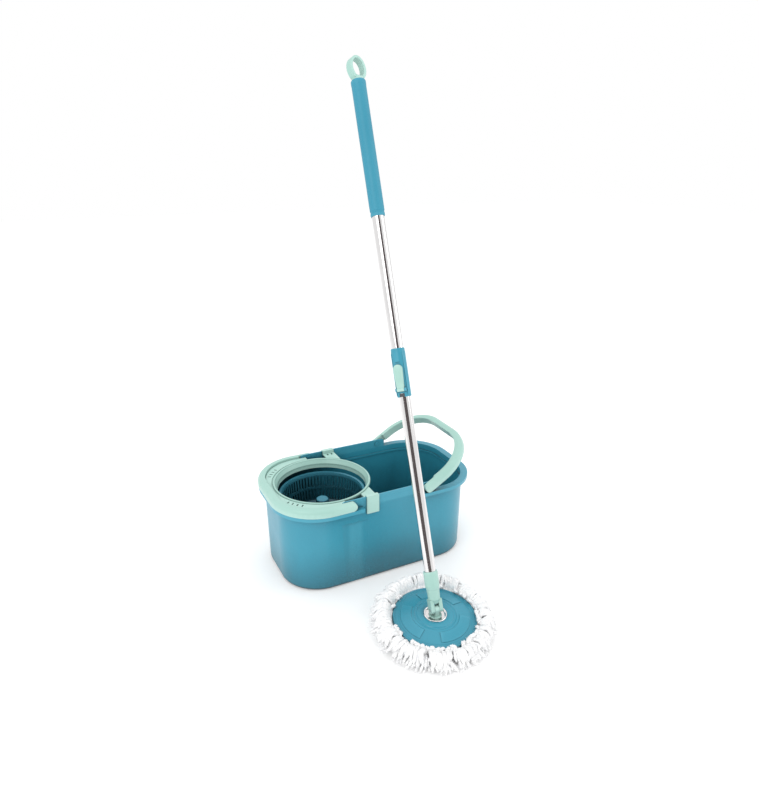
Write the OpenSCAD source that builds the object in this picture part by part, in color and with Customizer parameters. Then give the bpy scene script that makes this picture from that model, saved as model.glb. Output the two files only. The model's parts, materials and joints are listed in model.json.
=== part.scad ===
// Spin mop: an oval-ended bucket with a spinning wringing basket and two swing handles,
// and a hand-press mop with a round swivelling head, standing in front of the bucket.
// X runs along the bucket, with the basket at -X. -Y is the front, where the mop stands.
// The origin is the middle of the bucket's base, on the floor. All sizes are millimetres.

/* [Bucket] */
// Length over the rim flange
rim_l = 467; // [456:1:520]
// Width over the rim flange
rim_w = 275; // [268:1:320]
// Corner radius of the rim flange
rim_r = 102; // [92:1:120]
// Height of the rim flange above the floor
rim_z = 185; // [172:1:240]
// Height of the skirt that hangs from the rim flange
rim_skirt_h = 8; // [6:0.5:14]
// Inset of the tub's wall behind the flange's outline
tub_inset = 13; // [11:0.5:15]
// How far the tub's wall leans in between its top and the base
tub_taper = 3; // [1:0.5:12]
// Radius of the round along the bottom edge
base_edge_r = 9; // [4:1:14]
// Thickness of the moulded walls
wall = 3; // [2.4:0.1:3.6]
// Drop of the ledge inside the tub below the flange
ledge_drop = 14; // [12:1:20]
// Height of the raised side walls above the rim flange
side_rise = 19; // [18:0.5:24]
// Half length of the raised side walls
side_half = 110; // [106:1:118]
// Half length of the gap in the flange below the raised side walls
flange_gap = 64; // [60:1:72]
// Distance of the upright flutes from the middle of the bucket
flute_dx = 80; // [0:2:90]
// Depth of the shallow upright flute in each long side
flute_depth = 2; // [1:0.5:4]
// Radius of that flute
flute_r = 110; // [50:5:150]
// Depth of the recess under the base
foot_recess = 2; // [1:0.5:2.4]

/* [Handles] */
// Distance of each handle's pivot from the middle of the bucket
pivot_x = 90; // [86:1:92]
// How far the handles reach beyond the rim flange
handle_over = 1; // [0:0.5:3]
// Height of the handles
handle_h = 18; // [14:0.5:18]
// Width of the handles round the rim's end
band_w = 16.6; // [15:0.1:18]
// Radius of the handles' rounded shoulder
shoulder_r = 10; // [6:0.5:11]
// Thickness of the handles' moulded wall
band_wall = 3; // [2:0.2:3.6]
// Gap between a handle and the bucket
handle_gap = 0.6; // [0.4:0.1:1]
// How far the right handle stands up from the rim
right_handle_angle = 31; // [0:1:85]
// Radius of the handle pivot pins
handle_pin_r = 4; // [3:0.5:5]

/* [Basket] */
// Distance of the basket's axis from the middle of the bucket
basket_dx = 105; // [100:1:106]
// Radius of the basket at its rim
basket_r = 95; // [86:1:96]
// Radius of the basket at its floor
basket_floor_r = 86; // [76:1:87]
// Depth of the basket below the rim flange
basket_depth = 90; // [70:1:96]
// Drop of the basket's rim below the rim flange
basket_drop = 15; // [12:1:20]
// Thickness of the basket's wall
basket_wall = 2.4; // [2:0.1:3]
// Number of slots round the basket
slot_count = 72; // [48:4:80]
// Width of each slot
slot_w = 3.4; // [2.4:0.2:4]
// Height of the post in the middle of the basket
hub_h = 57; // [36:1:60]
// Radius of the steel spindle that the basket turns on
spindle_r = 5; // [4:0.5:6]
// Wall of the bush between the spindle and the post
bush_wall = 3; // [2:0.5:4]

/* [Splash ring] */
// Gap between the basket's rim and the ring's collar
collar_gap = 2.5; // [1.5:0.5:4]
// Thickness of the collar's wall
collar_wall = 3; // [2.4:0.2:4]
// How far the collar flares out to its lip
collar_flare = 4.5; // [3:0.5:5]
// Width of the collar's rounded lip
lip_w = 5; // [4:0.5:6]
// Depth of the collar below the rim flange
collar_drop = 6; // [4:1:14]
// Height of the ring's plate above the rim flange
plate_rise = 13; // [8:0.5:14]
// Thickness of the ring's flat plate
plate_t = 3; // [2:0.5:3.5]
// Width of each rim clip
clip_w = 28; // [20:1:30]
// Height of each rim clip outside the wall
clip_h = 40; // [24:1:44]

/* [Mop head] */
// Distance of the mop head to the left of the bucket's middle
head_dx = 9; // [0:1:60]
// Distance of the mop head in front of the bucket's middle
head_dy = 333; // [330:1:400]
// Tilt of the mop head towards the front
head_tilt = 5; // [0:1:8]
// Radius of the head disc
disc_r = 83; // [70:1:92]
// Thickness of the head disc's wall
disc_wall = 3; // [2.4:0.2:4]
// Radius of the microfibre pad
pad_r = 122; // [100:1:130]
// Thickness of the microfibre pad
pad_t = 30; // [24:1:36]
// Radius of the steel retaining cup
cup_r = 22.7; // [20:0.1:26]
// Radius of the swivel base inside the cup
swivel_r = 12.5; // [11:0.5:14]
// Radius of the swivel's stem
stem_r = 9; // [7:0.5:10]
// Radius of the tilt pin
tilt_pin_r = 3; // [2.5:0.5:3.5]
// Height of the tilt pin above the disc's rim
pin_rise = 20; // [19:0.5:22]

/* [Pole] */
// Tilt of the pole from the head's own axis
pole_tilt = 27; // [0:1:30]
// Turn of the tilt plane about the head's own axis
pole_turn = 3; // [-10:1:10]
// Length of the mop from the tilt pin to the top of the loop
pole_len = 1062; // [900:2:1150]
// Outside radius of the lower tube
lower_r = 11.2; // [10:0.1:12]
// Outside radius of the upper tube
upper_r = 12.2; // [11.9:0.1:13.2]
// Wall of both steel tubes
tube_wall = 0.7; // [0.5:0.1:0.8]
// Height of the lower collar's top above the tilt pin
collar_top = 74; // [66:1:90]
// Radius of the lower collar
collar_r = 13.9; // [13.6:0.1:17]
// Length of the lower tube
lower_len = 575; // [500:5:600]
// Height of the lock sleeve's lower end above the tilt pin
sleeve_z = 410; // [400:1:440]
// Length of the lock sleeve
sleeve_len = 93; // [80:1:110]
// Radius of the lock sleeve
sleeve_r = 13.8; // [13.6:0.1:17]
// Length of the grip
grip_len = 260; // [180:5:280]
// Radius of the grip
grip_r = 14.2; // [13.6:0.1:17]
// Height of the hanging loop
loop_h = 46; // [40:1:60]
// Depth of the hanging loop, along its hole
loop_t = 14; // [10:0.5:18]
// Length of the lock lever above its pin
lever_len = 48; // [36:1:52]
// Width of the lock lever at its tip
lever_tip_w = 18; // [15:0.5:20]
// Width of the lock lever at its pin
lever_low_w = 14; // [12:0.5:14.5]
// Direction that the lock lever faces, about the pole
lever_turn = -42; // [-60:1:60]
// Direction of the hole through the hanging loop, about the pole
loop_turn = 18; // [-90:1:90]

/* [Spin drive] */
// Lead of the twisted drive rod
rod_lead = 90; // [60:5:120]
// Width of the twisted drive rod
rod_w = 8; // [6:0.5:9]
// Thickness of the twisted drive rod
rod_t = 2.5; // [2:0.5:3]
// Length of the twisted drive rod
rod_len = 545; // [500:5:560]

/* [Fits] */
// Radial clearance of every running fit
run_fit = 0.06; // [0.02:0.01:0.09]
// Gap between faces that turn past each other
face_gap = 0.3; // [0.2:0.1:0.5]

/* [Hidden] */
$fn = 96;

TEAL = [0.25, 0.60, 0.71];
MINT = [0.66, 0.83, 0.79];
STEEL = [0.78, 0.78, 0.80];
WHITE = [0.96, 0.96, 0.97];
BRASS = [0.78, 0.66, 0.40];
DARK = [0.25, 0.27, 0.29];

// Margin that lets one cut pass beyond a face
eps = 0.5;

// Heights in the bucket
ledge_z = rim_z - ledge_drop;
side_z = rim_z + side_rise;
// Inner and outer faces of the raised side walls
side_y = rim_w / 2 - tub_inset;
side_in_y = side_y - wall;
// Centre of each corner, which the rim, the tub and the handles share
corner_x = rim_l / 2 - rim_r;
corner_y = rim_w / 2 - rim_r;
corner_base_r = rim_r - tub_inset - tub_taper;

// Handles: heights, and the arms that stand outside the raised side walls
handle_low = rim_z + handle_gap;
handle_top = handle_low + handle_h;
pivot_z = handle_low + handle_h / 2;
arm_end_r = handle_h / 2 - 0.2;
arm_y = side_y + handle_gap;
arm_t = rim_w / 2 + handle_over - arm_y;
// The wide part of a handle starts where it clears the raised wall as it swings
band_start = side_half + 4;
pin_end_y = rim_w / 2 + handle_over - 4;

// Basket and spindle
floor_z = rim_z - basket_depth;
basket_top_z = rim_z - basket_drop;
bush_r = spindle_r + run_fit + bush_wall;
washer_t = 1.5;
hub_bottom_z = floor_z - 4;
pillar_z = hub_bottom_z - face_gap - washer_t;
spindle_low_z = 30;
spindle_top_z = floor_z + hub_h - 14;

// Splash ring
collar_in = basket_r + collar_gap;
lip_out = collar_in + collar_flare + lip_w;
plate_top = rim_z + plate_rise;
plate_z = plate_top - plate_t;
lip_z = plate_top + 1.5;
clip_x = -55;
clip_fit = 0.2;
clip_t = 3;
clip_top_t = 1.4;

// Mop head, along the head's own axis from the tilt pin at zero
rim_s = -pin_rise;
cup_top_s = rim_s + 10;
seat_s = cup_top_s - 5;
pad_bottom_s = rim_s - 26;
pad_top_s = pad_bottom_s + pad_t;
pad_foot_r = pad_r - 17;
lug_t = 9;
lug_r = 8;
ear_r = 7.6;
ear_t = 7.4;
ear_x = lug_t / 2 + 0.4;
head_z = -pad_bottom_s * cos(head_tilt) + pad_foot_r * sin(head_tilt);

// Pole, along its own axis from the tilt pin at zero
lower_z = 45;
lower_top = lower_z + lower_len;
sleeve_top = sleeve_z + sleeve_len;
upper_z = sleeve_z + 8;
loop_z = pole_len - loop_h;
grip_z = loop_z - grip_len;
upper_top = loop_z - 6;
lower_in = lower_r - tube_wall;
upper_in = upper_r - tube_wall;
rod_top = upper_top - 26;
rod_bottom = rod_top - rod_len;
nut_z = lower_top - 26;

// ---- shared shapes ----

// Rounded rectangle, centred
module rounded(l, w, r) {
    square([l - 2 * r, w], center = true);
    square([l, w - 2 * r], center = true);
    for (x = [-1, 1], y = [-1, 1])
        translate([x * (l / 2 - r), y * (w / 2 - r)])
            circle(r);
}

// The rim's longest outline, moved inwards by an inset
module rim_outline(inset) {
    rounded(rim_l - 2 * inset, rim_w - 2 * inset, rim_r - inset);
}

module rim_slab(inset, z0, z1) {
    translate([0, 0, z0])
        linear_extrude(z1 - z0)
            rim_outline(inset);
}

// Section of the tub outwards from a corner's centre, with a rounded bottom edge
module tub_section(inset, z0, z1) {
    edge = base_edge_r;
    low_r = corner_base_r - inset;
    high_r = low_r + tub_taper * (z1 - z0) / (rim_z - z0);
    polygon(concat(
        [[0, z0]],
        [for (a = [-90 : 15 : 0]) [low_r - edge + edge * cos(a), z0 + edge + edge * sin(a)]],
        [[high_r, z1], [0, z1]]
    ));
}

// Solid body of the tub: corners, sides and core of one section, thinned by an inset
module tub_body(inset, z0, z1) {
    for (sx = [0, 1], sy = [0, 1])
        mirror([sx, 0, 0])
            mirror([0, sy, 0])
                translate([corner_x, corner_y, 0])
                    rotate_extrude(angle = 90)
                        tub_section(inset, z0, z1);
    for (sx = [0, 1])
        mirror([sx, 0, 0])
            translate([corner_x, 0, 0])
                rotate([90, 0, 0])
                    linear_extrude(2 * corner_y, center = true)
                        tub_section(inset, z0, z1);
    for (sy = [0, 1])
        mirror([0, sy, 0])
            translate([0, corner_y, 0])
                rotate([90, 0, 90])
                    linear_extrude(2 * corner_x, center = true)
                        tub_section(inset, z0, z1);
    translate([-corner_x, -corner_y, z0])
        cube([2 * corner_x, 2 * corner_y, z1 - z0]);
}

// The two shallow flutes in the long sides, thickened inwards by grow
module side_flutes(grow) {
    for (y = [-1, 1])
        translate([-flute_dx, y * (corner_y + corner_base_r + flute_r - flute_depth), -eps])
            cylinder(h = rim_z - 34, r = flute_r + grow);
}

module head_frame() {
    translate([-head_dx, -head_dy, head_z])
        rotate([head_tilt, 0, 0])
            children();
}

module pin_frame() {
    head_frame()
        rotate([0, 0, -pole_turn])
            children();
}

module pole_frame() {
    pin_frame()
        rotate([-pole_tilt, 0, 0])
            children();
}

// Tube from z0 to z1
module tube(r_out, r_in, z0, z1) {
    translate([0, 0, z0])
        difference() {
            cylinder(h = z1 - z0, r = r_out);
            translate([0, 0, -eps])
                cylinder(h = z1 - z0 + 2 * eps, r = r_in);
        }
}

module rod(r, z0, z1) {
    translate([0, 0, z0])
        cylinder(h = z1 - z0, r = r);
}

// Cylinder along X, centred on the axis
module x_rod(r, half) {
    rotate([0, 90, 0])
        cylinder(h = 2 * half, r = r, center = true);
}

// Cylinder along +Y from y0 to y1
module y_rod(r, y0, y1) {
    translate([0, y1, 0])
        rotate([90, 0, 0])
            cylinder(h = y1 - y0, r = r);
}

// ---- bucket ----

// Raised side walls, with rounded upper corners
module side_walls() {
    corner = 7;
    for (side = [-1, 1])
        translate([0, side * (side_y - wall / 2), 0])
            rotate([90, 0, 0])
                linear_extrude(wall, center = true)
                    union() {
                        translate([-side_half, rim_z - 6])
                            square([2 * side_half, side_z - corner - rim_z + 6]);
                        translate([-side_half + corner, rim_z])
                            square([2 * (side_half - corner), side_z - rim_z]);
                        for (x = [-1, 1])
                            translate([x * (side_half - corner), side_z - corner])
                                circle(corner);
                    }
}

// Flange with its hanging skirt, open below the middle of the raised side walls
module rim_flange() {
    difference() {
        rim_slab(0, rim_z - rim_skirt_h, rim_z);
        rim_slab(2.5, rim_z - rim_skirt_h - eps, rim_z - wall);
        rim_slab(tub_inset + wall / 2, rim_z - rim_skirt_h - eps, rim_z + eps);
        translate([-flange_gap, -rim_w, 0])
            cube([2 * flange_gap, 2 * rim_w, 2 * rim_z]);
    }
}

// Ledge round the inside, which the splash ring rests on
module inner_ledge() {
    difference() {
        rim_slab(tub_inset + wall / 2, ledge_z - 5, ledge_z);
        rim_slab(tub_inset + wall + 2.5, ledge_z - 5 - eps, ledge_z + eps);
    }
}

// Hollows under the base, which leave a foot all round and a cross between them
module foot_recesses() {
    foot = 16;
    foot_r = corner_base_r - base_edge_r - foot;
    translate([0, 0, -eps])
        linear_extrude(foot_recess + eps)
            difference() {
                rounded(2 * (corner_x + foot_r), 2 * (corner_y + foot_r), foot_r);
                square([rim_l, foot], center = true);
                square([foot, rim_w], center = true);
                translate([-basket_dx, 0])
                    circle(34);
            }
}

module bucket() {
    color(TEAL)
        difference() {
            union() {
                difference() {
                    tub_body(0, 0, rim_z);
                    side_flutes(0);
                    difference() {
                        tub_body(wall, wall + foot_recess, rim_z + eps);
                        side_flutes(wall);
                        translate([-basket_dx, 0, 0])
                            cylinder(h = pillar_z, r1 = 24, r2 = bush_r + 5);
                    }
                }
                side_walls();
                rim_flange();
                inner_ledge();
            }
            foot_recesses();
            translate([-basket_dx, 0, 0])
                rod(spindle_r, spindle_low_z, pillar_z + eps);
            for (x = [-1, 1])
                translate([x * pivot_x, 0, pivot_z])
                    y_rod(handle_pin_r, -rim_w, rim_w);
        }
}

module spindle_pin() {
    color(STEEL)
        translate([-basket_dx, 0, 0]) {
            rod(spindle_r, spindle_low_z, spindle_top_z - 1);
            translate([0, 0, spindle_top_z - 1])
                cylinder(h = 1, r1 = spindle_r, r2 = spindle_r - 1);
        }
}

module thrust_washer() {
    color(STEEL)
        translate([-basket_dx, 0, 0])
            tube(bush_r + 2, spindle_r, pillar_z, pillar_z + washer_t);
}

// ---- basket ----

// Section of the basket's wall, rim and floor
module basket_section() {
    rim_h = 6;
    polygon([
        [bush_r, floor_z],
        [basket_floor_r - 6, floor_z],
        [basket_floor_r, floor_z + 6],
        [basket_r - 4, basket_top_z - rim_h],
        [basket_r, basket_top_z - rim_h + 1],
        [basket_r, basket_top_z],
        [basket_r - 5, basket_top_z],
        [basket_r - 4 - basket_wall, basket_top_z - rim_h],
        [basket_floor_r - basket_wall, floor_z + 7],
        [basket_floor_r - 7, floor_z + basket_wall],
        [bush_r, floor_z + basket_wall]
    ]);
}

// Section of the post in the middle, closed at its top
module hub_section() {
    top = floor_z + hub_h;
    foot_r = bush_r + 14;
    head_r = bush_r + 6;
    polygon(concat(
        [[bush_r, hub_bottom_z], [bush_r + 4, hub_bottom_z], [foot_r, floor_z + 1],
         [foot_r, floor_z + 4]],
        [for (a = [0 : 15 : 90]) [head_r - 4 + 4 * cos(a), top - 4 + 4 * sin(a)]],
        [[0, top], [0, spindle_top_z + 2], [bush_r, spindle_top_z + 2]]
    ));
}

module spin_basket() {
    row_gap = 6;
    low = floor_z + 10;
    high = basket_top_z - 9;
    row_h = (high - low - row_gap) / 2;
    color(TEAL)
        translate([-basket_dx, 0, 0])
            difference() {
                rotate_extrude() {
                    basket_section();
                    hub_section();
                }
                for (k = [0 : slot_count - 1], z = [low, low + row_h + row_gap])
                    rotate([0, 0, k * 360 / slot_count])
                        translate([basket_floor_r - 6, -slot_w / 2, z])
                            cube([basket_r - basket_floor_r + 8, slot_w, row_h]);
                for (k = [0 : 11])
                    rotate([0, 0, k * 30])
                        translate([bush_r + 20, -2, floor_z - eps])
                            cube([36, 4, basket_wall + 2 * eps]);
            }
}

module basket_bush() {
    color(BRASS)
        translate([-basket_dx, 0, 0])
            tube(bush_r, spindle_r + run_fit, hub_bottom_z, spindle_top_z - 4);
}

// ---- splash ring ----

// Section of the collar: a flared wall with a rounded lip
module collar_section() {
    low_z = rim_z - collar_drop;
    r = lip_w / 2;
    mid = collar_in + collar_flare + r;
    polygon(concat(
        [[collar_in - 1, low_z], [collar_in - 1 + collar_wall, low_z],
         [collar_in + collar_wall, rim_z + 1], [lip_out, plate_z - 1]],
        [for (a = [0 : 15 : 180]) [mid + r * cos(a), lip_z - r + r * sin(a)]],
        [[collar_in, rim_z + 4], [collar_in, rim_z]]
    ));
}

// Clip that reaches from the collar over the raised side wall at +Y
module rim_clip() {
    inner_y = side_in_y - clip_fit;
    outer_y = side_y + clip_fit;
    root_y = collar_in;
    translate([clip_x, 0, 0])
        difference() {
            union() {
                translate([0, 40, plate_z])
                    cube([clip_w, inner_y - 40, plate_t]);
                translate([0, inner_y - clip_t, plate_z])
                    cube([clip_w, clip_t, side_z - plate_z + clip_top_t]);
                translate([0, inner_y - clip_t, side_z])
                    cube([clip_w, outer_y - inner_y + 2 * clip_t, clip_top_t]);
                translate([0, outer_y, side_z + clip_top_t - clip_h])
                    cube([clip_w, clip_t, clip_h]);
            }
            for (x = [0.28, 0.64])
                translate([x * clip_w, root_y + 10, plate_z - eps])
                    cube([0.14 * clip_w, inner_y - root_y - 16, plate_t + 2 * eps]);
            translate([-basket_dx - clip_x, 0, plate_z - eps])
                cylinder(h = plate_t + 2 * eps, r = lip_out - lip_w / 2);
        }
}

// Flat plate over the end of the bucket, with a lip that rests on the inner ledge
module end_plate() {
    plate_end = -side_half + 12;
    perimeter = tub_inset + wall + 0.4;
    difference() {
        union() {
            rim_slab(perimeter, plate_z, plate_z + plate_t);
            difference() {
                rim_slab(perimeter, ledge_z, plate_z);
                rim_slab(perimeter + 2.2, ledge_z - eps, plate_z);
            }
        }
        translate([-basket_dx, 0, 0])
            rod(lip_out - lip_w / 2, 0, 2 * rim_z);
        translate([plate_end, -rim_w, 0])
            cube([rim_l, 2 * rim_w, 2 * rim_z]);
    }
}

module splash_ring() {
    color(MINT)
        difference() {
            union() {
                end_plate();
                translate([-basket_dx, 0, 0])
                    rotate_extrude()
                        collar_section();
                rim_clip();
                mirror([0, 1, 0])
                    rim_clip();
            }
            for (side = [-1, 1], k = [0 : 3])
                translate([-basket_dx, 0, 0])
                    rotate([0, 0, side * (131 + 5.5 * k)])
                        translate([lip_out + 7, -1.4, plate_z - 1])
                            cube([7, 2.8, plate_t + 2]);
            translate([-basket_dx, 0, plate_top - 1.2])
                rotate_extrude()
                    translate([lip_out, 0])
                        square([2.2, 2]);
        }
}

// ---- handles ----

// Section of a handle of width w: x is zero at its outer edge, y is the height
module handle_section(w) {
    r = shoulder_r;
    edge = 1.5;
    polygon(concat(
        [[-w, handle_low], [0, handle_low]],
        [for (a = [0 : 15 : 90]) [-r + r * cos(a), handle_top - r + r * sin(a)]],
        [for (a = [90 : 30 : 180]) [-w + edge + edge * cos(a), handle_top - edge + edge * sin(a)]]
    ));
}

// The same section with the hollow that is open underneath
module hollow_section() {
    t = band_wall;
    difference() {
        handle_section(band_w);
        polygon([[-t, handle_low - eps], [-t, handle_low + 0.42 * handle_h],
                 [-t - 0.28 * handle_h, handle_top - t - 0.5], [-band_w + t, handle_top - t - 0.5],
                 [-band_w + t, handle_low - eps]]);
    }
}

// Straight stretch at the +Y side, from x0 to x1
module along_side(x0, x1) {
    translate([x0, rim_w / 2 + handle_over, 0])
        rotate([90, 0, 90])
            linear_extrude(x1 - x0)
                children();
}

// Arm beside the raised wall at +Y, with its rounded end about the pivot
module handle_arm() {
    difference() {
        union() {
            intersection() {
                along_side(pivot_x - arm_end_r - 1, pivot_x + 1)
                    handle_section(arm_t);
                translate([pivot_x, 0, pivot_z])
                    y_rod(arm_end_r, arm_y - 1, rim_w);
            }
            along_side(pivot_x, band_start)
                handle_section(arm_t);
            along_side(band_start, band_start + band_wall)
                handle_section(band_w);
            along_side(band_start + band_wall, corner_x)
                hollow_section();
        }
        translate([pivot_x, 0, pivot_z])
            y_rod(handle_pin_r + run_fit, 0, pin_end_y + 0.5);
    }
}

// Handle folded down round the +X end of the rim
module handle_loop() {
    color(MINT) {
        for (side = [0, 1])
            mirror([0, side, 0]) {
                handle_arm();
                translate([corner_x, corner_y, 0])
                    rotate_extrude(angle = 90)
                        translate([rim_r + handle_over, 0])
                            hollow_section();
            }
        translate([rim_l / 2 + handle_over, 0, 0])
            rotate([90, 0, 0])
                linear_extrude(2 * corner_y, center = true)
                    hollow_section();
    }
}

module right_handle() {
    translate([pivot_x, 0, pivot_z])
        rotate([0, -right_handle_angle, 0])
            translate([-pivot_x, 0, -pivot_z])
                handle_loop();
}

module left_handle() {
    mirror([1, 0, 0])
        handle_loop();
}

// Headed pins through the raised walls into the handle arms
module handle_pins(x) {
    color(TEAL)
        for (side = [0, 1])
            mirror([0, side, 0])
                translate([x, 0, pivot_z]) {
                    y_rod(handle_pin_r, side_in_y - 1, pin_end_y);
                    y_rod(handle_pin_r + 1.6, side_in_y - 1.6, side_in_y);
                }
}

module left_handle_pins() {
    handle_pins(-pivot_x);
}

module right_handle_pins() {
    handle_pins(pivot_x);
}

// ---- mop head ----

module microfibre_pad() {
    edge = pad_t / 2;
    color(WHITE)
        head_frame()
            difference() {
                rotate_extrude()
                    polygon(concat(
                        [[0, pad_bottom_s], [pad_foot_r, pad_bottom_s]],
                        [for (a = [-60 : 20 : 60])
                            [pad_r - edge + edge * cos(a), pad_bottom_s + edge + edge * sin(a)]],
                        [[disc_r + 2, pad_top_s - 1], [disc_r + 2, rim_s - 9], [0, rim_s - 9]]
                    ));
                rod(disc_r - 14, pad_bottom_s + 8, 0);
            }
}

module pad_ring() {
    color(WHITE)
        head_frame()
            tube(disc_r - 4, disc_r - 14 + 0.1, rim_s - 9, rim_s - 5 - disc_wall);
}

// Section of the domed disc, with its rings, rim bead and central seat
module disc_section() {
    under = rim_s - 5;
    polygon(concat(
        [[stem_r + run_fit, seat_s], [cup_r, seat_s], [cup_r, cup_top_s - 2],
         [cup_r + 5, cup_top_s - 1], [35, cup_top_s - 1.6], [36.5, cup_top_s - 3],
         [40, cup_top_s - 3.2], [41.5, cup_top_s - 2.6], [44, cup_top_s - 3.4]],
        [[disc_r - 13, rim_s + 1], [disc_r - 11.5, rim_s + 0.2], [disc_r - 6, rim_s - 0.4],
         [disc_r - 5, rim_s + 0.6], [disc_r - 2.5, rim_s + 0.8], [disc_r, rim_s - 1.5],
         [disc_r, under - 2], [disc_r - 2, under - 4]],
        [[disc_r - disc_wall, under - 4], [disc_r - disc_wall, under],
         [disc_r - 13, rim_s + 1 - disc_wall - 1], [44, cup_top_s - 4 - disc_wall],
         [cup_r + 2, seat_s - disc_wall - 1], [stem_r + 8, seat_s - disc_wall - 1],
         [stem_r + 8, seat_s - 8], [stem_r + run_fit, seat_s - 8]]
    ));
}

// Raised sector panel on the disc's slope
module disc_panel() {
    r0 = 46;
    r1 = disc_r - 16;
    slope = (cup_top_s - 3.4 - rim_s - 1) / (disc_r - 13 - 44);
    s0 = cup_top_s - 3.4 - slope * (r0 - 44);
    s1 = cup_top_s - 3.4 - slope * (r1 - 44);
    rotate_extrude(angle = 84)
        polygon([[r0, s0 - 1], [r1, s1 - 1], [r1, s1 + 0.5], [r1 - 1, s1 + 1.1], [r0 + 1, s0 + 0.9],
                 [r0, s0 + 0.3]]);
}

module mop_disc() {
    color(TEAL)
        head_frame() {
            rotate_extrude()
                disc_section();
            for (k = [0 : 2])
                rotate([0, 0, 120 * k + 10])
                    disc_panel();
        }
}

// Steel dish with a rolled edge, seated in the middle of the disc
module retaining_cup() {
    edge = 1.7;
    color(STEEL)
        head_frame()
            rotate_extrude()
                polygon(concat(
                    [[swivel_r + face_gap, seat_s], [cup_r, seat_s]],
                    [for (a = [0 : 22.5 : 157.5])
                        [cup_r - edge + edge * cos(a), cup_top_s - edge + edge * sin(a)]],
                    [[swivel_r + 5.6, seat_s + 1.2], [swivel_r + face_gap, seat_s + 1.2]]
                ));
}

module swivel_base() {
    base_top = cup_top_s - 2;
    color(MINT)
        difference() {
            pin_frame() {
                rod(swivel_r, seat_s + face_gap, base_top - 1);
                translate([0, 0, base_top - 1])
                    cylinder(h = 1, r1 = swivel_r, r2 = swivel_r - 1);
                rod(stem_r, seat_s - 9, seat_s + 1);
                x_rod(lug_r, lug_t / 2);
                translate([-lug_t / 2, -lug_r, base_top - 2])
                    cube([lug_t, 2 * lug_r, 2 - base_top]);
            }
            pin_frame()
                x_rod(tilt_pin_r + run_fit, swivel_r);
            pin_frame()
                rod(2.5, seat_s - 12, seat_s + 3);
        }
}

module swivel_washer() {
    color(STEEL)
        pin_frame()
            tube(stem_r + 5, 2.5, seat_s - 10.5, seat_s - 9);
}

module swivel_screw() {
    color(STEEL)
        pin_frame() {
            rod(2.5, seat_s - 10.5, seat_s + 3);
            rod(5, seat_s - 13, seat_s - 10.5);
        }
}

module tilt_pin() {
    color(STEEL)
        pin_frame()
            x_rod(tilt_pin_r, ear_x + ear_t - 0.4);
}

// ---- pole ----

module yoke() {
    fork_top = 20;
    color(MINT)
        pole_frame()
            difference() {
                union() {
                    for (side = [-1, 1])
                        translate([side * (ear_x + ear_t / 2), 0, 0]) {
                            x_rod(ear_r, ear_t / 2);
                            translate([-ear_t / 2, -ear_r, 0])
                                cube([ear_t, 2 * ear_r, fork_top]);
                        }
                    intersection() {
                        translate([0, 0, fork_top - 8])
                            cylinder(h = 8, r1 = 8, r2 = 11.6);
                        translate([-20, -20, 11])
                            cube([40, 40, 20]);
                    }
                    translate([0, 0, fork_top])
                        cylinder(h = 20, r1 = 11.6, r2 = 12.4);
                    rod(lower_in, fork_top + 18, collar_top - 4);
                }
                translate([-lug_t / 2 - 0.4, -20, -20])
                    cube([lug_t + 0.8, 40, 29]);
                x_rod(tilt_pin_r, ear_x + ear_t + 1);
                translate([0, 0, 58])
                    x_rod(1.5, lower_r + 2);
            }
}

module tube_collar() {
    color(MINT)
        pole_frame()
            rotate_extrude()
                polygon([[lower_r, lower_z], [lower_in, lower_z], [lower_in, 40], [collar_r - 1, 40],
                         [collar_r, 46], [collar_r, collar_top - 3], [collar_r - 1, collar_top],
                         [lower_r, collar_top]]);
}

module yoke_rivet() {
    color(STEEL)
        pole_frame()
            translate([0, 0, 58])
                x_rod(1.5, lower_r - 0.2);
}

module lower_tube() {
    color(STEEL)
        pole_frame()
            difference() {
                tube(lower_r, lower_in, lower_z, lower_top);
                translate([0, 0, 58])
                    x_rod(1.5, lower_r + 2);
            }
}

// Nut with a slot for the twisted rod, turning inside the lower tube
module drive_nut() {
    r = lower_in - 2.6;
    color(WHITE)
        pole_frame()
            difference() {
                rod(r, nut_z, nut_z + 12);
                rod(rod_w / 2 + 0.7, nut_z - eps, nut_z + 5);
                rod(rod_w / 2 + 0.7, nut_z + 7, nut_z + 13);
                rotate([0, 0, 360 * (nut_z + 6 - rod_bottom) / rod_lead])
                    translate([-rod_w / 2 - 0.5, -rod_t / 2 - 0.9, nut_z])
                        cube([rod_w + 1, rod_t + 1.8, 12]);
            }
}

// Pressed ring that carries the nut and its one-way rollers
module clutch_ring() {
    r = lower_in - 2.6;
    color(BRASS)
        pole_frame() {
            tube(lower_in, r + run_fit, nut_z - 0.4, nut_z + 12);
            tube(lower_in, rod_w / 2 + 0.7, nut_z - 2, nut_z - 0.4);
        }
}

// Cap pressed into the lower tube, which guides it inside the upper tube
module guide_bush() {
    color(DARK)
        pole_frame() {
            tube(lower_in, rod_w / 2 + 0.7, nut_z + 12.4, lower_top);
            tube(upper_in - run_fit, rod_w / 2 + 0.7, lower_top, lower_top + 14);
        }
}

module upper_tube() {
    color(STEEL)
        pole_frame()
            tube(upper_r, upper_in, upper_z, upper_top);
}

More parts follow.
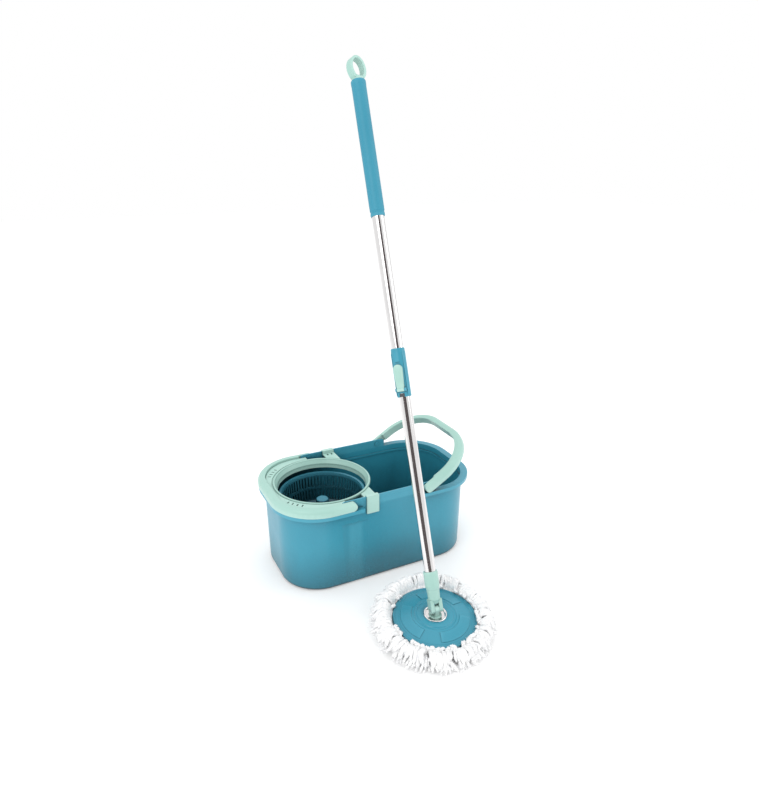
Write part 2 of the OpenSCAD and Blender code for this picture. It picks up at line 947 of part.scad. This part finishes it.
module lock_sleeve() {
    slot_h = 62;
    color(TEAL)
        difference() {
            union() {
                pole_frame()
                    rotate_extrude()
                        polygon([[0, sleeve_z], [sleeve_r - 1, sleeve_z],
                                 [sleeve_r, sleeve_z + 1], [sleeve_r, sleeve_top - 6],
                                 [sleeve_r - 0.4, sleeve_top - 5], [sleeve_r - 0.4, sleeve_top - 0.6],
                                 [sleeve_r - 0.9, sleeve_top], [0, sleeve_top]]);
                for (side = [-1, 1])
                    lever_frame()
                        translate([side * (lever_low_w / 2 + 1.8), 0, 0]) {
                            x_rod(3.4, 1.4);
                            translate([-1.4, 0, -3.4])
                                cube([2.8, 7.5, 6.8]);
                        }
                pole_frame()
                    for (side = [-1, 1])
                        rotate([0, 0, lever_turn + side * 55])
                            translate([-1.5, -sleeve_r - 0.8, sleeve_z + 3])
                                cube([3, 2, sleeve_len - 12]);
            }
            pole_frame()
                rotate([0, 0, lever_turn]) {
                    translate([-lever_low_w / 2 - 0.3, -sleeve_r - 3, sleeve_z + 5])
                        cube([lever_low_w + 0.6, 3 + sleeve_r - upper_r - 0.5, slot_h]);
                    translate([-5, -sleeve_r - 3, sleeve_z - eps])
                        cube([10, 10, 7 + eps]);
                }
            pole_frame() {
                rod(lower_r + run_fit, sleeve_z - 1, upper_z + 1);
                rod(upper_r, upper_z, sleeve_top + 1);
            }
            lever_frame()
                x_rod(1.25, lever_low_w / 2 + 2.4);
        }
}

// Nylon shoe that the lever's cam presses on the lower tube
module clamp_shoe() {
    color(DARK)
        pole_frame()
            rotate([0, 0, lever_turn])
                difference() {
                    translate([-4.6, -sleeve_r + 0.6, sleeve_z + 0.4])
                        cube([9.2, sleeve_r - lower_r + 2.4, 6]);
                    rod(lower_r + 0.3, sleeve_z - eps, sleeve_z + 8);
                }
}

// Where the lever turns, on the face of the sleeve
module lever_frame() {
    pole_frame()
        rotate([0, 0, lever_turn])
            translate([0, -sleeve_r - 2.6, sleeve_z + 14])
                children();
}

// Tongue-shaped lever, crowned across its width, with a rounded tip
module lock_lever() {
    tip_r = lever_tip_w / 2;
    low_w = lever_low_w / 2;
    color(MINT)
        lever_frame()
            difference() {
                union() {
                    x_rod(3.3, low_w);
                    intersection() {
                        translate([0, 2.2, 0])
                            rotate([90, 0, 0])
                                linear_extrude(7)
                                    polygon(concat(
                                        [[-low_w, 0], [low_w, 0]],
                                        [for (a = [0 : 15 : 180])
                                            [tip_r * cos(a), lever_len - tip_r + tip_r * sin(a)]]
                                    ));
                        translate([0, 14.2, -5])
                            cylinder(h = lever_len + 10, r = 18);
                        translate([0, 156.4, lever_len * 0.6])
                            x_rod(160, lever_tip_w);
                    }
                }
                x_rod(1.25 + run_fit, low_w + 1);
            }
}

module lever_pin() {
    color(STEEL)
        lever_frame()
            x_rod(1.25, lever_low_w / 2 + 2.4);
}

module twisted_rod() {
    color(STEEL)
        pole_frame() {
            translate([0, 0, rod_bottom])
                linear_extrude(rod_len, twist = -360 * rod_len / rod_lead, slices = 144, $fn = 4)
                    square([rod_w, rod_t], center = true);
            rod(4, rod_top - 2, rod_top + 12);
        }
}

// Cross piece that stops the rod leaving the nut
module rod_stop() {
    color(DARK)
        pole_frame()
            rod(lower_in - 0.6, rod_bottom - 5, rod_bottom);
}

// Plug in the top of the upper tube that holds the rod still
module rod_anchor() {
    color(DARK)
        pole_frame()
            difference() {
                rod(upper_in, rod_top + 1, upper_top);
                rod(4, rod_top - eps, rod_top + 12);
            }
}

module grip() {
    color(TEAL)
        pole_frame()
            rotate_extrude()
                polygon(concat(
                    [[upper_r, grip_z], [grip_r - 1.2, grip_z], [grip_r - 0.3, grip_z + 1.5],
                     [grip_r - 0.3, grip_z + 6], [grip_r - 0.9, grip_z + 7],
                     [grip_r - 0.9, grip_z + 9], [grip_r, grip_z + 11], [grip_r, loop_z - 12],
                     [grip_r + 0.3, loop_z - 8], [grip_r + 0.3, loop_z - 2],
                     [grip_r - 0.8, loop_z]],
                    [[upper_r, loop_z]]
                ));
}

// Oval ring that stands on the grip's cap
module hanging_loop() {
    half_w = 0.4 * loop_h;
    half_h = 0.5 * loop_h;
    band = 5;
    mid_z = pole_len - half_h;
    color(MINT)
        pole_frame()
            difference() {
                union() {
                    translate([0, 0, mid_z])
                        rotate([0, 0, loop_turn])
                            scale([half_w / half_h, 1, 1])
                                rotate([90, 0, 0])
                                    cylinder(h = loop_t, r = half_h, center = true);
                    translate([0, 0, loop_z])
                        cylinder(h = 9, r1 = grip_r - 1.2, r2 = 9.5);
                    rod(upper_r, upper_top, loop_z + 1);
                }
                translate([0, 0, mid_z + 0.5])
                    rotate([0, 0, loop_turn])
                        scale([(half_w - band) / (half_h - band), 1, 1])
                            rotate([90, 0, 0])
                                cylinder(h = 4 * loop_t, r = half_h - band, center = true);
            }
}

bucket();
spindle_pin();
thrust_washer();
splash_ring();
spin_basket();
basket_bush();
left_handle();
right_handle();
left_handle_pins();
right_handle_pins();
microfibre_pad();
pad_ring();
mop_disc();
retaining_cup();
swivel_base();
swivel_washer();
swivel_screw();
tilt_pin();
yoke();
tube_collar();
yoke_rivet();
lower_tube();
drive_nut();
clutch_ring();
guide_bush();
upper_tube();
lock_sleeve();
clamp_shoe();
lock_lever();
lever_pin();
twisted_rod();
rod_stop();
rod_anchor();
grip();
hanging_loop();
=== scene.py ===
import json
import math
import random

import bpy
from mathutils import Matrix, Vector, noise


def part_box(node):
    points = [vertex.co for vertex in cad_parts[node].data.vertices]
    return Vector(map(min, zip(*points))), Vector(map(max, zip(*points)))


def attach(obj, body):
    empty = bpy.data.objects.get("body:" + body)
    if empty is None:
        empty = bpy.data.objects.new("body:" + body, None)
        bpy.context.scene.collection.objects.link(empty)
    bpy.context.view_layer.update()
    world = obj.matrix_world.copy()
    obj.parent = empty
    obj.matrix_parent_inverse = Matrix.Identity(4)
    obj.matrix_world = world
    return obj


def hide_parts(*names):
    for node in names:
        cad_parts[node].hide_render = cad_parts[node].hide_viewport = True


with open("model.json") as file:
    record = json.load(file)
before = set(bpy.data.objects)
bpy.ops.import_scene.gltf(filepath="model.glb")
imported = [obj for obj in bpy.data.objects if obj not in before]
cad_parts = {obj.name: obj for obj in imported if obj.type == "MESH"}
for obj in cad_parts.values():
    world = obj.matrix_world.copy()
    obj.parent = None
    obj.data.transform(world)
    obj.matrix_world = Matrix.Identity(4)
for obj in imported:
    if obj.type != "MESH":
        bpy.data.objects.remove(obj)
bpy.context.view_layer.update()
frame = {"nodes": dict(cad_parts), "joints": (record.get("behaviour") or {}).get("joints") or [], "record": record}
rng = random.Random(11)

# Metres in a millimetre
MM = 0.001
# Sensor width and focal length, in mm
SENSOR_WIDTH = 36
FOCAL_LENGTH = 30.83004
CAMERA_PLACE = (-0.5601, -1.1963, 0.8712)
CAMERA_DOWN = math.radians(20.89)
CAMERA_TURN = math.radians(26.53)
FLOOR_HALF = 9.0
# Reach of the painted shade that darkens the colour in deep hollows
PAINTED_SHADE_REACH = 0.20
# Sides of the head where the strands are piled highest
BACK_ANGLE = math.radians(70)
LEFT_ANGLE = math.radians(158)
STRAND_SIDES = 8
STRAND_POINTS = 15
# Loose fibres on each strand, and their half width
FUZZ_COUNT = 42
FUZZ_HALF_WIDTH = 0.28 * MM
# Number of clumps in each layer, and of places for one over the disc's edge
LAYERS = (("low", 58), ("mid", 66), ("top", 70))
EDGE_PLACES = 64
BACKING_STEPS = 96
BACKING_RIPPLES = 24


# ---- camera, floor and lights ----

def make_camera():
    data = bpy.data.cameras.new("view")
    cam = bpy.data.objects.new("view", data)
    bpy.context.scene.collection.objects.link(cam)
    data.sensor_fit = "HORIZONTAL"
    data.sensor_width = SENSOR_WIDTH
    data.lens = FOCAL_LENGTH
    cam.location = CAMERA_PLACE
    cam.rotation_euler = (math.pi / 2 - CAMERA_DOWN, 0, -CAMERA_TURN)
    bpy.context.scene.camera = cam
    bpy.context.scene.view_settings.view_transform = "Standard"


def area_light(name, place, aim, size, power):
    data = bpy.data.lights.new(name, "AREA")
    data.shape = "RECTANGLE"
    data.size, data.size_y = size
    data.energy = power
    lamp = bpy.data.objects.new(name, data)
    bpy.context.scene.collection.objects.link(lamp)
    lamp.location = place
    lamp.rotation_euler = (Vector(aim) - Vector(place)).to_track_quat("-Z", "Y").to_euler()


def mesh_object(name, verts, faces, smooth=True):
    mesh = bpy.data.meshes.new(name)
    mesh.from_pydata([tuple(v) for v in verts], [], faces)
    mesh.update()
    if smooth:
        mesh.polygons.foreach_set("use_smooth", [True] * len(mesh.polygons))
    obj = bpy.data.objects.new(name, mesh)
    bpy.context.scene.collection.objects.link(obj)
    return obj


def make_stage():
    r = FLOOR_HALF
    floor = mesh_object("floor", [(-r, -r, 0), (r, -r, 0), (r, r, 0), (-r, r, 0)],
                        [(0, 1, 2, 3)], False)
    mat = bpy.data.materials.new("floor")
    mat.use_nodes = True
    shader = mat.node_tree.nodes["Principled BSDF"]
    shader.inputs["Base Color"].default_value = (0.93, 0.93, 0.93, 1)
    shader.inputs["Roughness"].default_value = 0.9
    shader.inputs["Specular IOR Level"].default_value = 0.1
    # A faint glow keeps the far floor as white as the sky behind it
    shader.inputs["Emission Color"].default_value = (1, 1, 1, 1)
    shader.inputs["Emission Strength"].default_value = 0.14
    floor.data.materials.append(mat)
    # A dark card that only reflections see, as a studio uses to give polished tubes their dark band
    middle, along = Vector((-1.85, -3.4, 0)), Vector((0.86, -0.51, 0)) * 2.3
    low, high = Vector((0, 0, -0.4)), Vector((0, 0, 4.2))
    card = mesh_object("card", [middle - along + low, middle + along + low, middle + along + high,
                                middle - along + high], [(0, 1, 2, 3)], False)
    dark = bpy.data.materials.new("card")
    dark.use_nodes = True
    shader = dark.node_tree.nodes["Principled BSDF"]
    shader.inputs["Base Color"].default_value = (0.10, 0.085, 0.085, 1)
    shader.inputs["Roughness"].default_value = 1.0
    card.data.materials.append(dark)
    card.visible_camera = False
    card.visible_diffuse = False
    card.visible_shadow = False
    world = bpy.data.worlds.new("studio")
    bpy.context.scene.world = world
    world.use_nodes = True
    back = world.node_tree.nodes["Background"]
    back.inputs["Color"].default_value = (1, 1, 1, 1)
    back.inputs["Strength"].default_value = 1.0
    area_light("key", (-2.2, -1.6, 2.2), (0, -0.1, 0.2), (1.6, 1.6), 22)
    area_light("fill", (2.4, -1.4, 1.7), (0, 0, 0.2), (1.4, 1.8), 11)
    area_light("top", (0.1, 0.5, 2.6), (0, -0.1, 0.2), (1.8, 1.8), 6)


# ---- materials ----

def new_material(name):
    mat = bpy.data.materials.new(name)
    mat.use_nodes = True
    tree = mat.node_tree
    return mat, tree, tree.nodes["Principled BSDF"]


def add(tree, kind, **values):
    node = tree.nodes.new(kind)
    for key, value in values.items():
        setattr(node, key, value)
    return node


def noise_node(tree, scale, detail, coords, stretch=None):
    tex = add(tree, "ShaderNodeTexNoise")
    tex.inputs["Scale"].default_value = scale
    tex.inputs["Detail"].default_value = detail
    if stretch:
        mapping = add(tree, "ShaderNodeMapping")
        mapping.inputs["Scale"].default_value = stretch
        tree.links.new(coords, mapping.inputs["Vector"])
        coords = mapping.outputs["Vector"]
    tree.links.new(coords, tex.inputs["Vector"])
    return tex


def ramp(tree, source, low, high, a, b):
    node = add(tree, "ShaderNodeMapRange")
    node.inputs["From Min"].default_value = low
    node.inputs["From Max"].default_value = high
    node.inputs["To Min"].default_value = a
    node.inputs["To Max"].default_value = b
    tree.links.new(source, node.inputs["Value"])
    return node.outputs["Result"]


def mix_colour(tree, factor, a, b):
    node = add(tree, "ShaderNodeMix", data_type="RGBA")
    node.inputs["A"].default_value = (*a, 1)
    node.inputs["B"].default_value = (*b, 1)
    tree.links.new(factor, node.inputs["Factor"])
    return node.outputs["Result"]


def plastic(name, colour, edge_highlight, dark, rough=0.34, grain=800.0, depth=0.012, coat=0.12, edge=0.0007,
            hollow_shade=0.14):
    """Moulded plastic: a fine grain, faint flow marks, slightly paler edges as a painted highlight, painted shade
    in deep hollows and soft corners.
    """
    mat, tree, shader = new_material(name)
    coords = add(tree, "ShaderNodeTexCoord").outputs["Object"]
    cloud = noise_node(tree, 7.0, 3.0, coords)
    tone = ramp(tree, cloud.outputs["Fac"], 0.35, 0.65, 0.0, 1.0)
    body = mix_colour(tree, tone, dark, colour)
    geometry = add(tree, "ShaderNodeNewGeometry")
    # Painted highlight: convex edges are blended towards the paler colour
    painted_edge_highlight = ramp(tree, geometry.outputs["Pointiness"], 0.52, 0.60, 0.0, 0.5)
    blend = add(tree, "ShaderNodeMix", data_type="RGBA")
    blend.inputs["B"].default_value = (*edge_highlight, 1)
    tree.links.new(painted_edge_highlight, blend.inputs["Factor"])
    tree.links.new(body, blend.inputs["A"])
    # Painted shade: deep hollows darken the base colour through an occlusion mask
    hollow_occlusion = add(tree, "ShaderNodeAmbientOcclusion", samples=4)
    hollow_occlusion.inputs["Distance"].default_value = PAINTED_SHADE_REACH
    shade_factor = ramp(tree, hollow_occlusion.outputs["AO"], 0.28, 0.72, hollow_shade, 1.0)
    painted_shade_colour = add(tree, "ShaderNodeVectorMath", operation="SCALE")
    tree.links.new(blend.outputs["Result"], painted_shade_colour.inputs[0])
    tree.links.new(shade_factor, painted_shade_colour.inputs["Scale"])
    tree.links.new(painted_shade_colour.outputs["Vector"], shader.inputs["Base Color"])
    smear = noise_node(tree, 16.0, 2.0, coords)
    tree.links.new(ramp(tree, smear.outputs["Fac"], 0.3, 0.7, rough - 0.03, rough + 0.04),
                   shader.inputs["Roughness"])
    fine = noise_node(tree, grain, 2.0, coords)
    corner = add(tree, "ShaderNodeBevel", samples=4)
    corner.inputs["Radius"].default_value = edge
    bump = add(tree, "ShaderNodeBump")
    bump.inputs["Strength"].default_value = depth
    bump.inputs["Distance"].default_value = 0.0004
    tree.links.new(fine.outputs["Fac"], bump.inputs["Height"])
    tree.links.new(corner.outputs["Normal"], bump.inputs["Normal"])
    tree.links.new(bump.outputs["Normal"], shader.inputs["Normal"])
    shader.inputs["Coat Weight"].default_value = coat
    shader.inputs["Coat Roughness"].default_value = 0.2
    shader.inputs["Specular IOR Level"].default_value = 0.45
    return mat


def metal(name, colour, shade, rough, streak, scale=900.0, depth=0.02):
    """Drawn or machined metal, with streaks across one direction and faint clouding."""
    mat, tree, shader = new_material(name)
    coords = add(tree, "ShaderNodeTexCoord").outputs["Object"]
    lines = noise_node(tree, scale, 3.0, coords, streak)
    cloud = noise_node(tree, 22.0, 2.0, coords)
    tone = ramp(tree, cloud.outputs["Fac"], 0.3, 0.7, 0.0, 1.0)
    tree.links.new(mix_colour(tree, tone, shade, colour), shader.inputs["Base Color"])
    tree.links.new(ramp(tree, lines.outputs["Fac"], 0.3, 0.7, rough * 0.8, rough * 1.35),
                   shader.inputs["Roughness"])
    bump = add(tree, "ShaderNodeBump")
    bump.inputs["Strength"].default_value = depth
    bump.inputs["Distance"].default_value = 0.0003
    tree.links.new(lines.outputs["Fac"], bump.inputs["Height"])
    tree.links.new(bump.outputs["Normal"], shader.inputs["Normal"])
    shader.inputs["Metallic"].default_value = 1.0
    return mat


def microfibre(name):
    """White split-fibre yarn: soft sheen, short pile and faint grey patches at random, painted shade standing in
    for the hollows between strands.
    """
    mat, tree, shader = new_material(name)
    coords = add(tree, "ShaderNodeTexCoord").outputs["Object"]
    # Painted shade: faint grey patches scattered at random stand in for the shade in the hollows of the yarn
    cloud = noise_node(tree, 90.0, 4.0, coords)
    tone = ramp(tree, cloud.outputs["Fac"], 0.3, 0.62, 0.0, 1.0)
    tree.links.new(mix_colour(tree, tone, (0.93, 0.935, 0.95), (0.985, 0.985, 0.985)),
                   shader.inputs["Base Color"])
    pile = noise_node(tree, 1500.0, 4.0, coords)
    twist = noise_node(tree, 420.0, 2.0, coords)
    total = add(tree, "ShaderNodeMath", operation="ADD")
    tree.links.new(pile.outputs["Fac"], total.inputs[0])
    tree.links.new(twist.outputs["Fac"], total.inputs[1])
    bump = add(tree, "ShaderNodeBump")
    bump.inputs["Strength"].default_value = 0.55
    bump.inputs["Distance"].default_value = 0.0012
    tree.links.new(total.outputs[0], bump.inputs["Height"])
    tree.links.new(bump.outputs["Normal"], shader.inputs["Normal"])
    shader.inputs["Roughness"].default_value = 0.95
    shader.inputs["Specular IOR Level"].default_value = 0.15
    shader.inputs["Sheen Weight"].default_value = 0.5
    shader.inputs["Sheen Roughness"].default_value = 0.5
    return mat


def dress(obj, mat):
    for slot in obj.material_slots:
        slot.material = mat
    if not obj.material_slots:
        obj.data.materials.append(mat)


def dress_frame():
    teal = plastic("teal", (0.036, 0.290, 0.400), (0.08, 0.38, 0.50), (0.032, 0.272, 0.380),
                   rough=0.33)
    # Painted shade: a darker copy of the teal for the basket down inside the bucket
    teal_shaded_copy = plastic("teal_painted_shade", (0.030, 0.230, 0.320), (0.06, 0.31, 0.42),
                        (0.026, 0.212, 0.300), rough=0.38)
    mint = plastic("mint", (0.37, 0.60, 0.535), (0.48, 0.71, 0.65), (0.345, 0.575, 0.51),
                   rough=0.38, hollow_shade=0.55)
    grip = plastic("grip", (0.036, 0.280, 0.395), (0.08, 0.36, 0.48), (0.031, 0.258, 0.370),
                   rough=0.5, grain=1300.0, depth=0.16, coat=0.0)
    nylon = plastic("nylon", (0.86, 0.87, 0.88), (0.92, 0.92, 0.93), (0.80, 0.81, 0.83), rough=0.45)
    black = plastic("dark_plastic", (0.05, 0.055, 0.06), (0.09, 0.09, 0.10), (0.04, 0.045, 0.05),
                    rough=0.5)
    chrome = metal("chrome", (0.80, 0.79, 0.79), (0.74, 0.73, 0.73), 0.09, (1, 1, 0.02))
    steel = metal("steel", (0.60, 0.60, 0.62), (0.50, 0.50, 0.52), 0.30, (1, 1, 0.05), depth=0.06)
    bronze = metal("bronze", (0.68, 0.50, 0.24), (0.58, 0.42, 0.20), 0.32, (1, 1, 0.1), depth=0.05)
    by_slot = {"teal": teal, "mint": mint, "chrome": chrome, "steel": steel, "bronze": bronze,
               "white_plastic": nylon, "dark_plastic": black}
    slots = {p["node"]: p["material_slot"] for p in frame["record"]["subparts"]}
    for name, obj in frame["nodes"].items():
        if slots.get(name) in by_slot:
            dress(obj, by_slot[slots[name]])
    dress(frame["nodes"]["grip"], grip)
    # The basket gets the darker teal copy as painted shade
    dress(frame["nodes"]["spin_basket"], teal_shaded_copy)


# ---- microfibre head ----

def head_axes():
    joint = [j for j in frame["joints"] if j["name"] == "disc_spin"][0]
    n = Vector(joint["axis"]).normalized()
    x = Vector((1, 0, 0))
    y = n.cross(x).normalized()
    return Vector(joint["pos_m"]), x, y, n


HEAD, HX, HY, HN = head_axes()
DISC_R = (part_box("mop_disc")[1].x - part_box("mop_disc")[0].x) / 2
PAD_R = (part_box("microfibre_pad")[1].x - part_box("microfibre_pad")[0].x) / 2


def head_point(angle, r, s):
    return HEAD + HX * (r * math.cos(angle)) + HY * (r * math.sin(angle)) + HN * s


def spline(points, count):
    """Evenly spaced points on a Catmull-Rom curve through the given ones."""
    ends = [points[0] * 2 - points[1]] + points + [points[-1] * 2 - points[-2]]
    out = []
    for i in range(count):
        t = i / (count - 1) * (len(points) - 1)
        k = min(int(t), len(points) - 2)
        u = t - k
        a, b, c, d = ends[k:k + 4]
        out.append(0.5 * ((2 * b) + (c - a) * u + (2 * a - 5 * b + 4 * c - d) * u * u
                          + (3 * b - a - 3 * c + d) * u ** 3))
    return out


def add_strand(verts, faces, line, radius):
    """A lumpy rope of yarn along a line, closed at its rounded tip, with loose fibres on it."""
    start = len(verts)
    sides = STRAND_SIDES
    count = len(line)
    phase = rng.uniform(0, 6.28)
    for i, p in enumerate(line):
        ahead = (line[min(i + 1, count - 1)] - line[max(i - 1, 0)]).normalized()
        side = ahead.cross(HN)
        if side.length < 1e-4:
            side = HX.copy()
        side.normalize()
        up = side.cross(ahead)
        u = i / (count - 1)
        tip = math.sqrt(max(0.0, 1 - max(0.0, (u - 0.86) / 0.14) ** 2))
        for k in range(sides):
            a = 2 * math.pi * k / sides + 0.35 * i + phase
            lump = (1 + 0.20 * math.sin(3 * a + 1.9 * i)
                    + 0.26 * noise.noise((p + up * 0.004 * k) * 190))
            r = radius * lump * (0.25 + 0.75 * tip)
            q = p + side * (r * math.cos(a)) + up * (r * math.sin(a))
            q.z = max(q.z, 0.0006)
            verts.append(q)
    for i in range(count - 1):
        for k in range(sides):
            a = start + i * sides + k
            b = start + i * sides + (k + 1) % sides
            faces.append((a, b, b + sides, a + sides))
    faces.append(tuple(start + k for k in reversed(range(sides))))
    faces.append(tuple(start + (count - 1) * sides + k for k in range(sides)))
    last = len(verts)
    for _ in range(FUZZ_COUNT):
        i = rng.randrange(start, last)
        ring = (i - start) // sides
        centre = line[ring]
        out = verts[i] - centre
        if out.length < 1e-6:
            continue
        out.normalize()
        ahead = (line[min(ring + 1, count - 1)] - line[max(ring - 1, 0)]).normalized()
        lean = ahead * rng.uniform(-0.3, 1.0) + out * rng.uniform(0.4, 1.1) \
            + Vector((rng.uniform(-0.5, 0.5), rng.uniform(-0.5, 0.5), rng.uniform(-0.3, 0.4)))
        lean.normalize()
        length = rng.uniform(0.0014, 0.0034)
        wide = lean.cross(out)
        if wide.length < 1e-5:
            continue
        wide = wide.normalized() * FUZZ_HALF_WIDTH
        base = verts[i] - out * 0.0006
        end = verts[i] + lean * length
        end.z = max(end.z, 0.0004)
        base.z = max(base.z, 0.0004)
        at = len(verts)
        verts.extend([base - wide, base + wide, end])
        faces.append((at, at + 1, at + 2))


def floor_clear(p, radius):
    return Vector((p.x, p.y, max(p.z, radius * 0.9 + 0.0006)))


def tuft(verts, faces, angle, kind):
    """One clump: three to five ropes that leave the disc together and part towards their tips.

    The points of each kind's shape are (distance from the axis, height above the swivel) in mm.
    """
    back = 0.5 + 0.5 * math.cos(angle - BACK_ANGLE)
    left = 0.5 + 0.5 * math.cos(angle - LEFT_ANGLE)
    pile = 13.0 * back ** 2 + 5.0 * left ** 3
    reach = PAD_R + rng.uniform(-0.010, 0.002) + 0.007 * left ** 3 + 0.005 * back ** 2
    curl = rng.uniform(-0.13, 0.13)
    for _ in range(rng.choice((3, 4, 4, 5))):
        radius = rng.uniform(2.4, 3.7) * MM
        a = angle + rng.uniform(-0.045, 0.045)
        tip_a = a + curl + rng.uniform(-0.09, 0.09)
        end = reach - radius + rng.uniform(-0.008, 0.002)
        lift = rng.uniform(-2.0, 2.0)
        if kind == "low":
            shape = [(70, -37), (84, -38 + lift), (99, -39 + lift), (end / MM, -42)]
        elif kind == "mid":
            shape = [(72, -34), (86, -29 + lift + 0.5 * pile), (100, -27 + lift + 0.6 * pile),
                     (end / MM - 1, -37 + lift + 0.3 * pile)]
        elif kind == "top":
            shape = [(74, -33), (86, -26 + lift), (91, -18 + lift + 0.6 * pile),
                     (103, -17 + lift + pile), (end / MM - 3, -31 + 2 * lift + 0.7 * pile)]
        else:
            over = rng.uniform(-1.5, 4.0)
            shape = [(88, -31), (90, -24), (DISC_R / MM + 2 - over * 0.3, -16.5 + lift * 0.3),
                     (DISC_R / MM - over, -14.5 + lift * 0.3)]
            radius *= 0.9
            a += rng.uniform(-0.04, 0.04)
            tip_a = a + curl + rng.uniform(-0.05, 0.05)
        points = []
        for k, (r, s) in enumerate(shape):
            u = k / (len(shape) - 1)
            wave = 0.022 * math.sin(2.4 * k + angle * 9) * (0.2 + u)
            at = a + (tip_a - a) * u + wave
            points.append(floor_clear(head_point(at, r * MM, s * MM), radius))
        line = [floor_clear(p, radius) for p in spline(points, STRAND_POINTS)]
        add_strand(verts, faces, line, radius)


def make_pad():
    verts, faces = [], []
    for kind, count in LAYERS:
        for k in range(count):
            tuft(verts, faces, 2 * math.pi * (k + rng.uniform(-0.3, 0.3)) / count, kind)
    # Tufts pushed up over the disc's edge, mostly along the front
    for k in range(EDGE_PLACES):
        angle = 2 * math.pi * (k + rng.uniform(-0.45, 0.45)) / EDGE_PLACES
        front = 0.5 - 0.5 * math.sin(angle)
        if rng.random() < 0.10 + 0.80 * front:
            tuft(verts, faces, angle, "over")
    pad = mesh_object("microfibre_strands", verts, faces)
    pad.data.materials.append(microfibre("microfibre"))
    return pad


def make_backing():
    """The woven cloth that carries the strands, stretched over the snap ring under the disc."""
    verts, faces = [], []
    rings = [(68.5, -33), (74, -34), (80, -36), (86, -38.5), (92, -41)]
    steps = BACKING_STEPS
    for r, s in rings:
        for k in range(steps):
            a = 2 * math.pi * k / steps
            ripple = 0.8 * math.sin(BACKING_RIPPLES * a) * (r - 68) / 24
            p = head_point(a, r * 0.001, (s + ripple) * 0.001)
            verts.append(floor_clear(p, 0.001))
    for i in range(len(rings) - 1):
        for k in range(steps):
            a, b = i * steps + k, i * steps + (k + 1) % steps
            faces.append((a, b, b + steps, a + steps))
    cloth = mesh_object("pad_backing", verts, faces)
    cloth.data.materials.append(bpy.data.materials["microfibre"])
    return cloth


make_camera()
make_stage()
dress_frame()
pad = make_pad()
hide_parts("microfibre_pad")
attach(pad, "mop_head")
backing = make_backing()
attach(backing, "mop_head")
